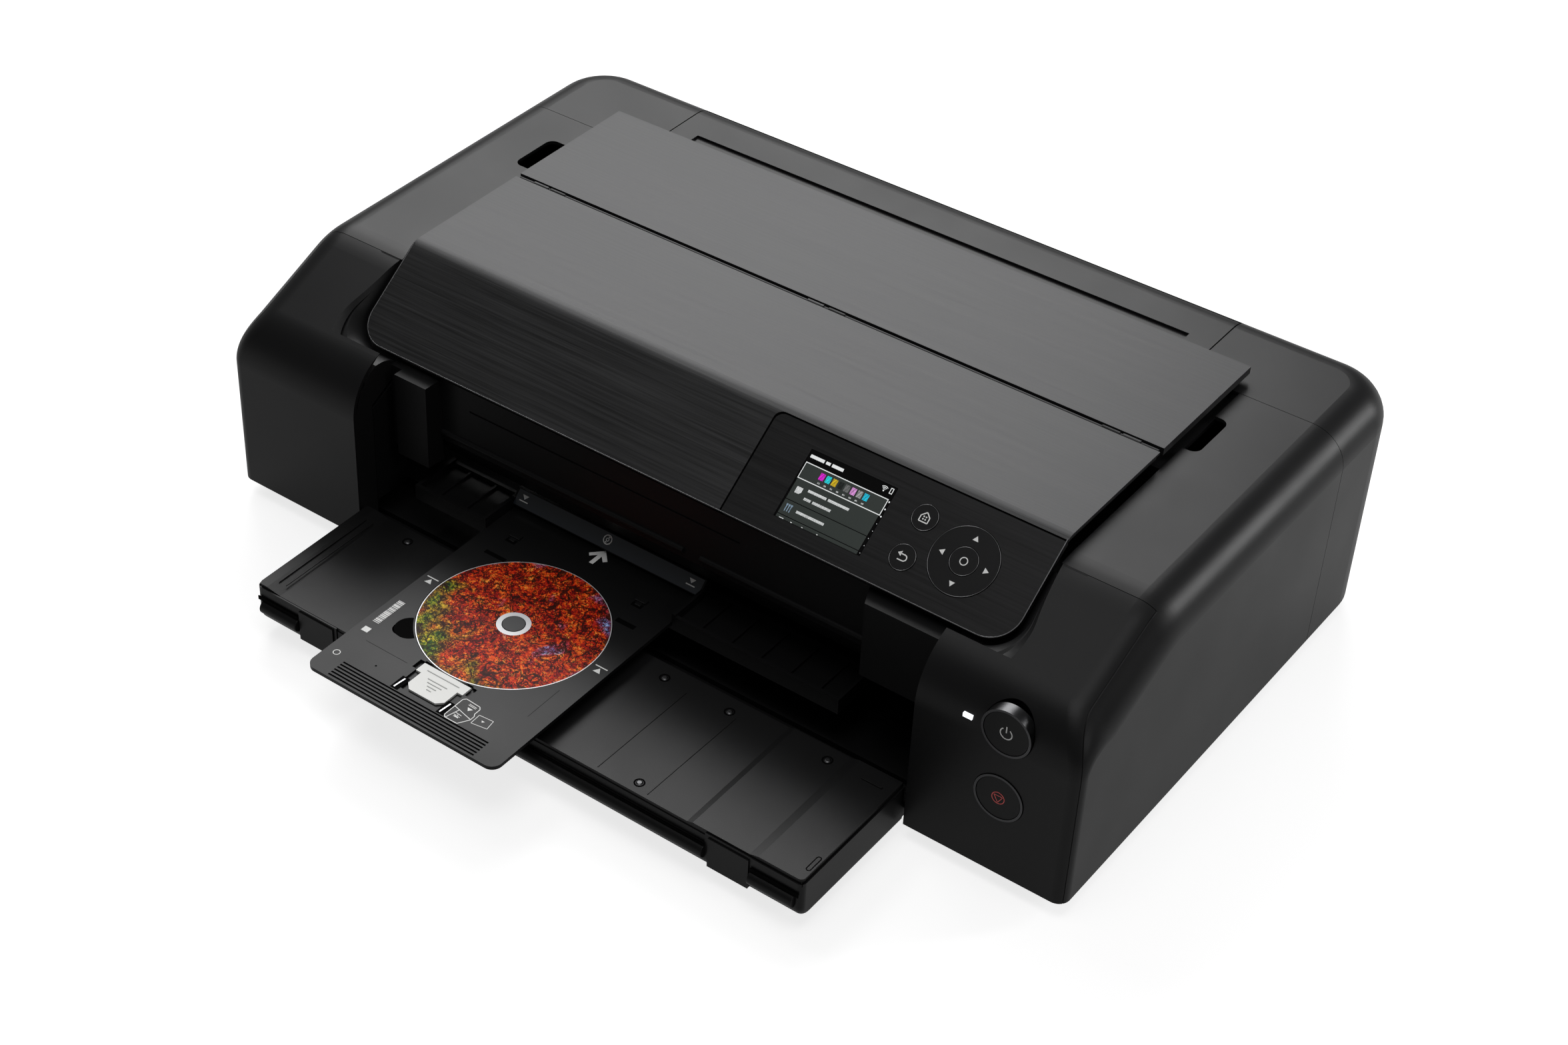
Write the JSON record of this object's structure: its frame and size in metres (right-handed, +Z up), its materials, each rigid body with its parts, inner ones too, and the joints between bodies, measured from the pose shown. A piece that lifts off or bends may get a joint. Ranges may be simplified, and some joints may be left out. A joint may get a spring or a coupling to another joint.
{
  "type": "disc label printer",
  "caption": "Wide desktop ink printer with a lowered front guide and a sliding tray that carries a printable disc under the print carriage.",
  "frame": {"origin": "middle of the standing face of the whole printer with its trays out, on the floor plane", "axes": "+X to the right seen from the front, +Y from the front towards the back, +Z up"},
  "size_m": [0.639, 0.52, 0.1795],
  "materials": {
    "casing": "fine satin black",
    "brushed_cover": "brushed dark grey",
    "panel": "gloss black",
    "screen": "lit display",
    "key": "satin black",
    "bright_ring": "bright ring",
    "lamp": "lit lamp",
    "rubber": "matt",
    "steel": "satin",
    "roller_metal": "ground",
    "motor_case": "satin",
    "inner_plastic": "matt black",
    "ink_case": "satin",
    "board": "green board",
    "port_metal": "satin",
    "strip_film": "clear film",
    "label_paper": "dark blue-grey label",
    "tray_plastic": "satin dark grey",
    "white_plastic": "white",
    "disc_surface": "printed face"
  },
  "bodies": {
    "casing": {"base_pan": "casing", "button_rings": "bright_ring", "carriage_belt": "rubber", "carriage_motor": "motor_case", "carriage_shaft": "steel", "chassis_frame": "steel", "cover_hinge_pins": "steel", "encoder_strip": "strip_film", "guide_label": "label_paper", "left_pod_cover": "casing", "left_side_shell": "casing", "lid_hinge_rod": "steel", "main_board": "board", "mouth_left_block": "casing", "mouth_panel": "casing", "mouth_right_block": "casing", "pinch_holder": "inner_plastic", "platen": "inner_plastic", "port_block": "port_metal", "power_inlet": "inner_plastic", "power_supply": "inner_plastic", "purge_unit": "inner_plastic", "rear_deck_plate": "brushed_cover", "rear_hopper": "casing", "rear_shell": "casing", "right_pod_cover": "casing", "right_side_shell": "casing", "rubber_feet": "rubber", "status_lamp": "lamp", "top_frame": "casing", "tray_guide": "casing"},
    "lid": {"top_cover_plate": "brushed_cover", "top_cover_liner": "casing", "operation_panel": "panel", "display": "screen", "key_board": "board"},
    "home_button": {"home_key": "key"},
    "back_button": {"back_key": "key"},
    "arrow_pad": {"arrow_ring": "key"},
    "select_button": {"select_key": "key"},
    "power_press": {"power_button": "key"},
    "stop_press": {"stop_button": "key"},
    "rear_cover": {"rear_tray_cover": "casing"},
    "disc_carrier": {"disc_tray": "tray_plastic", "adapter_tab": "white_plastic", "disc": "disc_surface"},
    "front_tray": {"output_tray_cover": "casing", "output_tray_plate": "casing"},
    "tray_extension": {"output_tray_extension": "casing"},
    "feed_shaft": {"feed_roller": "roller_metal"},
    "exit_shaft": {"exit_roller": "rubber"},
    "pinch_shaft": {"pinch_rollers": "rubber"},
    "print_carriage": {"carriage": "inner_plastic", "ink_tanks": "ink_case"},
    "drive_pulley": {"motor_pulley": "steel"},
    "return_pulley": {"idler_pulley": "steel"},
    "left_guide": {"left_edge_guide": "casing"},
    "right_guide": {"right_edge_guide": "casing"}
  },
  "joints": [
    {"name": "lid_hinge", "type": "hinge", "parent": "casing", "child": "lid", "pos_m": [0, 0.0833, 0.1776], "axis": [-1, 0, 0], "range_deg": [0, 55]},
    {"name": "home_key_press", "type": "slide", "parent": "lid", "child": "home_button", "axis": [0, 0.5881, -0.8088], "range_m": [0, 0.0008], "stiffness_N_per_m": 400, "springref_m": -0.001},
    {"name": "back_key_press", "type": "slide", "parent": "lid", "child": "back_button", "axis": [0, 0.5881, -0.8088], "range_m": [0, 0.0008], "stiffness_N_per_m": 400, "springref_m": -0.001},
    {"name": "arrow_ring_press", "type": "slide", "parent": "lid", "child": "arrow_pad", "axis": [0, 0.5881, -0.8088], "range_m": [0, 0.0008], "stiffness_N_per_m": 400, "springref_m": -0.001},
    {"name": "select_key_press", "type": "slide", "parent": "lid", "child": "select_button", "axis": [0, 0.5881, -0.8088], "range_m": [0, 0.0008], "stiffness_N_per_m": 400, "springref_m": -0.001},
    {"name": "power_button_press", "type": "slide", "parent": "casing", "child": "power_press", "axis": [0, 1, 0], "range_m": [0, 0.001], "stiffness_N_per_m": 400, "springref_m": -0.001},
    {"name": "stop_button_press", "type": "slide", "parent": "casing", "child": "stop_press", "axis": [0, 1, 0], "range_m": [0, 0.001], "stiffness_N_per_m": 400, "springref_m": -0.001},
    {"name": "rear_cover_hinge", "type": "hinge", "parent": "casing", "child": "rear_cover", "pos_m": [0, 0.2545, 0.154], "axis": [-1, 0, 0], "range_deg": [0, 100]},
    {"name": "disc_tray_slide", "type": "slide", "parent": "casing", "child": "disc_carrier", "axis": [0, 1, 0], "range_m": [-0.06, 0.2]},
    {"name": "output_tray_hinge", "type": "hinge", "parent": "casing", "child": "front_tray", "pos_m": [0, -0.11, 0.01933], "axis": [-1, 0, 0], "range_deg": [0, 2]},
    {"name": "tray_extension_slide", "type": "slide", "parent": "front_tray", "child": "tray_extension", "axis": [0, -1, 0], "range_m": [0, 0.07]},
    {"name": "feed_roller_spin", "type": "hinge", "parent": "casing", "child": "feed_shaft", "pos_m": [0, 0.089, 0.0342], "axis": [1, 0, 0], "continuous": true},
    {"name": "exit_roller_spin", "type": "hinge", "parent": "casing", "child": "exit_shaft", "pos_m": [0, -0.011, 0.0367], "axis": [1, 0, 0], "continuous": true},
    {"name": "pinch_roller_spin", "type": "hinge", "parent": "casing", "child": "pinch_shaft", "pos_m": [0, 0.089, 0.0545], "axis": [1, 0, 0], "continuous": true},
    {"name": "carriage_slide", "type": "slide", "parent": "casing", "child": "print_carriage", "axis": [-1, 0, 0], "range_m": [0, 0.46]},
    {"name": "motor_pulley_spin", "type": "hinge", "parent": "casing", "child": "drive_pulley", "pos_m": [0.27, 0.114, 0.112], "axis": [0, 1, 0], "continuous": true},
    {"name": "idler_pulley_spin", "type": "hinge", "parent": "casing", "child": "return_pulley", "pos_m": [-0.27, 0.114, 0.112], "axis": [0, 1, 0], "continuous": true},
    {"name": "left_guide_slide", "type": "slide", "parent": "casing", "child": "left_guide", "axis": [1, 0, 0], "range_m": [0, 0.115]},
    {"name": "right_guide_slide", "type": "slide", "parent": "casing", "child": "right_guide", "axis": [1, 0, 0], "range_m": [-0.115, 0]}
  ],
  "couplings": [
    {"joint": "exit_roller_spin", "follows": "feed_roller_spin", "ratio": 1.3846},
    {"joint": "motor_pulley_spin", "follows": "carriage_slide", "rad_per_m": 113.64},
    {"joint": "idler_pulley_spin", "follows": "carriage_slide", "rad_per_m": 113.64},
    {"joint": "right_guide_slide", "follows": "left_guide_slide", "ratio": -1}
  ]
}
